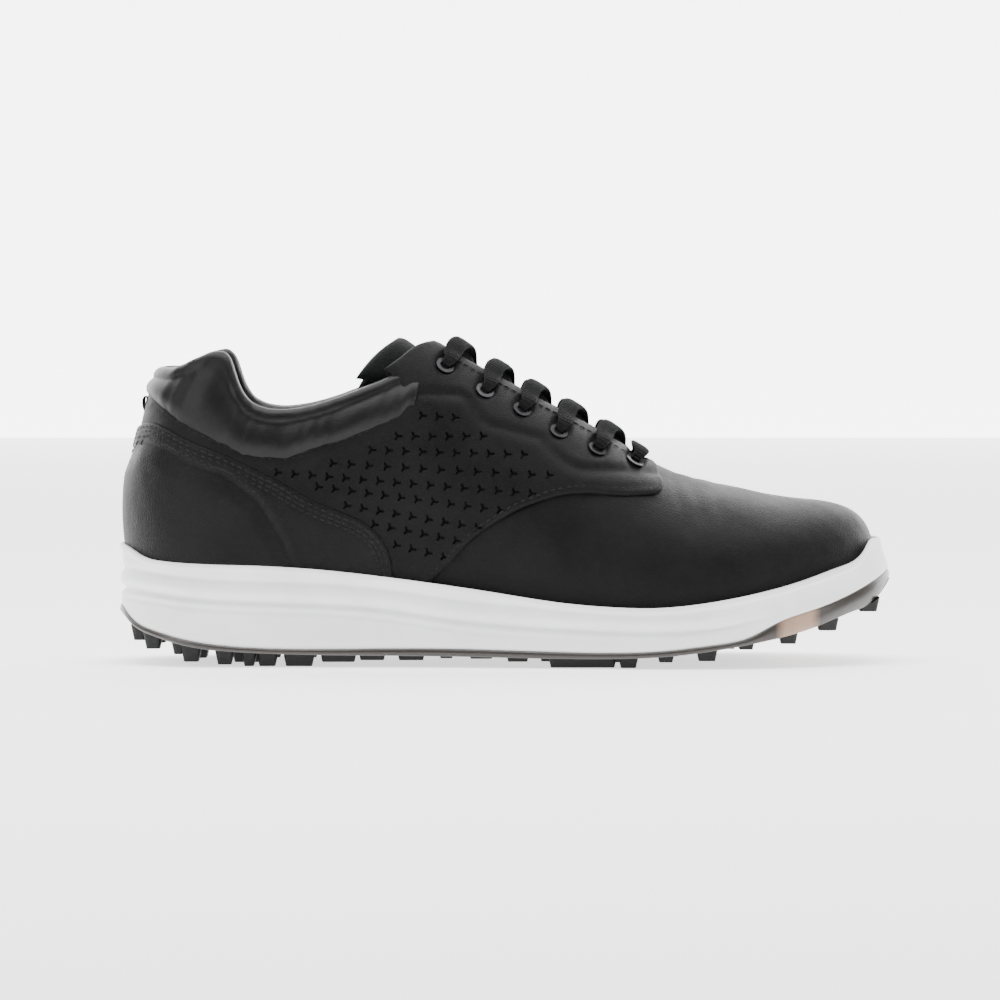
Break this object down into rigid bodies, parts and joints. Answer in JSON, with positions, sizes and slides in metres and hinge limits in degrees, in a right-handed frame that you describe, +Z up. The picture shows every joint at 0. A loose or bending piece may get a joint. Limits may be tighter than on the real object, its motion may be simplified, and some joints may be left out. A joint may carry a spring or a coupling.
{
  "type": "golf shoe",
  "caption": "Spikeless leather golf shoe for the right foot: laced derby upper with a padded collar and tongue on a moulded foam midsole, translucent outsole and tread lugs",
  "frame": {"origin": "on the ground, below the middle of the shoe's bounding box", "axes": "+X to the toe, +Y to the medial side of the foot, +Z up"},
  "size_m": [0.3, 0.1134, 0.1265],
  "materials": {
    "black_leather": "fine grained, semi-gloss",
    "collar_leather": "smooth, soft sheen",
    "stiffener": "matt board",
    "lining_cloth": "brushed knit",
    "foam": "open-cell foam",
    "tongue_cloth": "padded textile",
    "lace_cloth": "flat ribbed weave",
    "eyelet_metal": "dark nickel",
    "white_foam": "matt moulded foam",
    "smoky_rubber": "translucent, satin",
    "black_rubber": "satin",
    "insole_foam": "cloth-covered foam"
  },
  "bodies": {
    "shoe": {"vamp": "black_leather", "toe_puff": "stiffener", "vamp_lining": "lining_cloth", "quarter_lateral": "black_leather", "quarter_medial": "black_leather", "quarter_lining_lateral": "lining_cloth", "quarter_lining_medial": "lining_cloth", "eyestay_reinforcement_lateral": "stiffener", "eyestay_reinforcement_medial": "stiffener", "quarter_backing_lateral": "lining_cloth", "quarter_backing_medial": "lining_cloth", "heel_counter": "stiffener", "heel_foxing": "black_leather", "collar_cover": "collar_leather", "collar_roll": "collar_leather", "collar_foam": "foam", "collar_lining": "lining_cloth", "heel_pull_loop": "lace_cloth", "strobel_board": "stiffener", "midsole": "white_foam", "outsole": "smoky_rubber", "heel_lugs": "black_rubber", "midfoot_lugs": "black_rubber", "forefoot_lugs": "black_rubber", "eyelets": "eyelet_metal", "lace": "lace_cloth", "lace_aglets": "black_rubber"},
    "tongue": {"tongue_cover": "tongue_cloth", "tongue_foam": "foam", "tongue_lining": "lining_cloth"},
    "sockliner": {"sockliner": "insole_foam"}
  },
  "joints": [
    {"name": "tongue_tilt", "type": "hinge", "parent": "shoe", "child": "tongue", "pos_m": [0.0565, 0, 0.071], "axis": [0, 1, 0], "range_deg": [-10, 0], "stiffness_Nm_per_rad": 0.5, "springref_deg": 2.86},
    {"name": "sockliner_lift", "type": "hinge", "parent": "shoe", "child": "sockliner", "pos_m": [0.134, 0, 0.034], "axis": [0, 1, 0], "range_deg": [0, 8]}
  ]
}
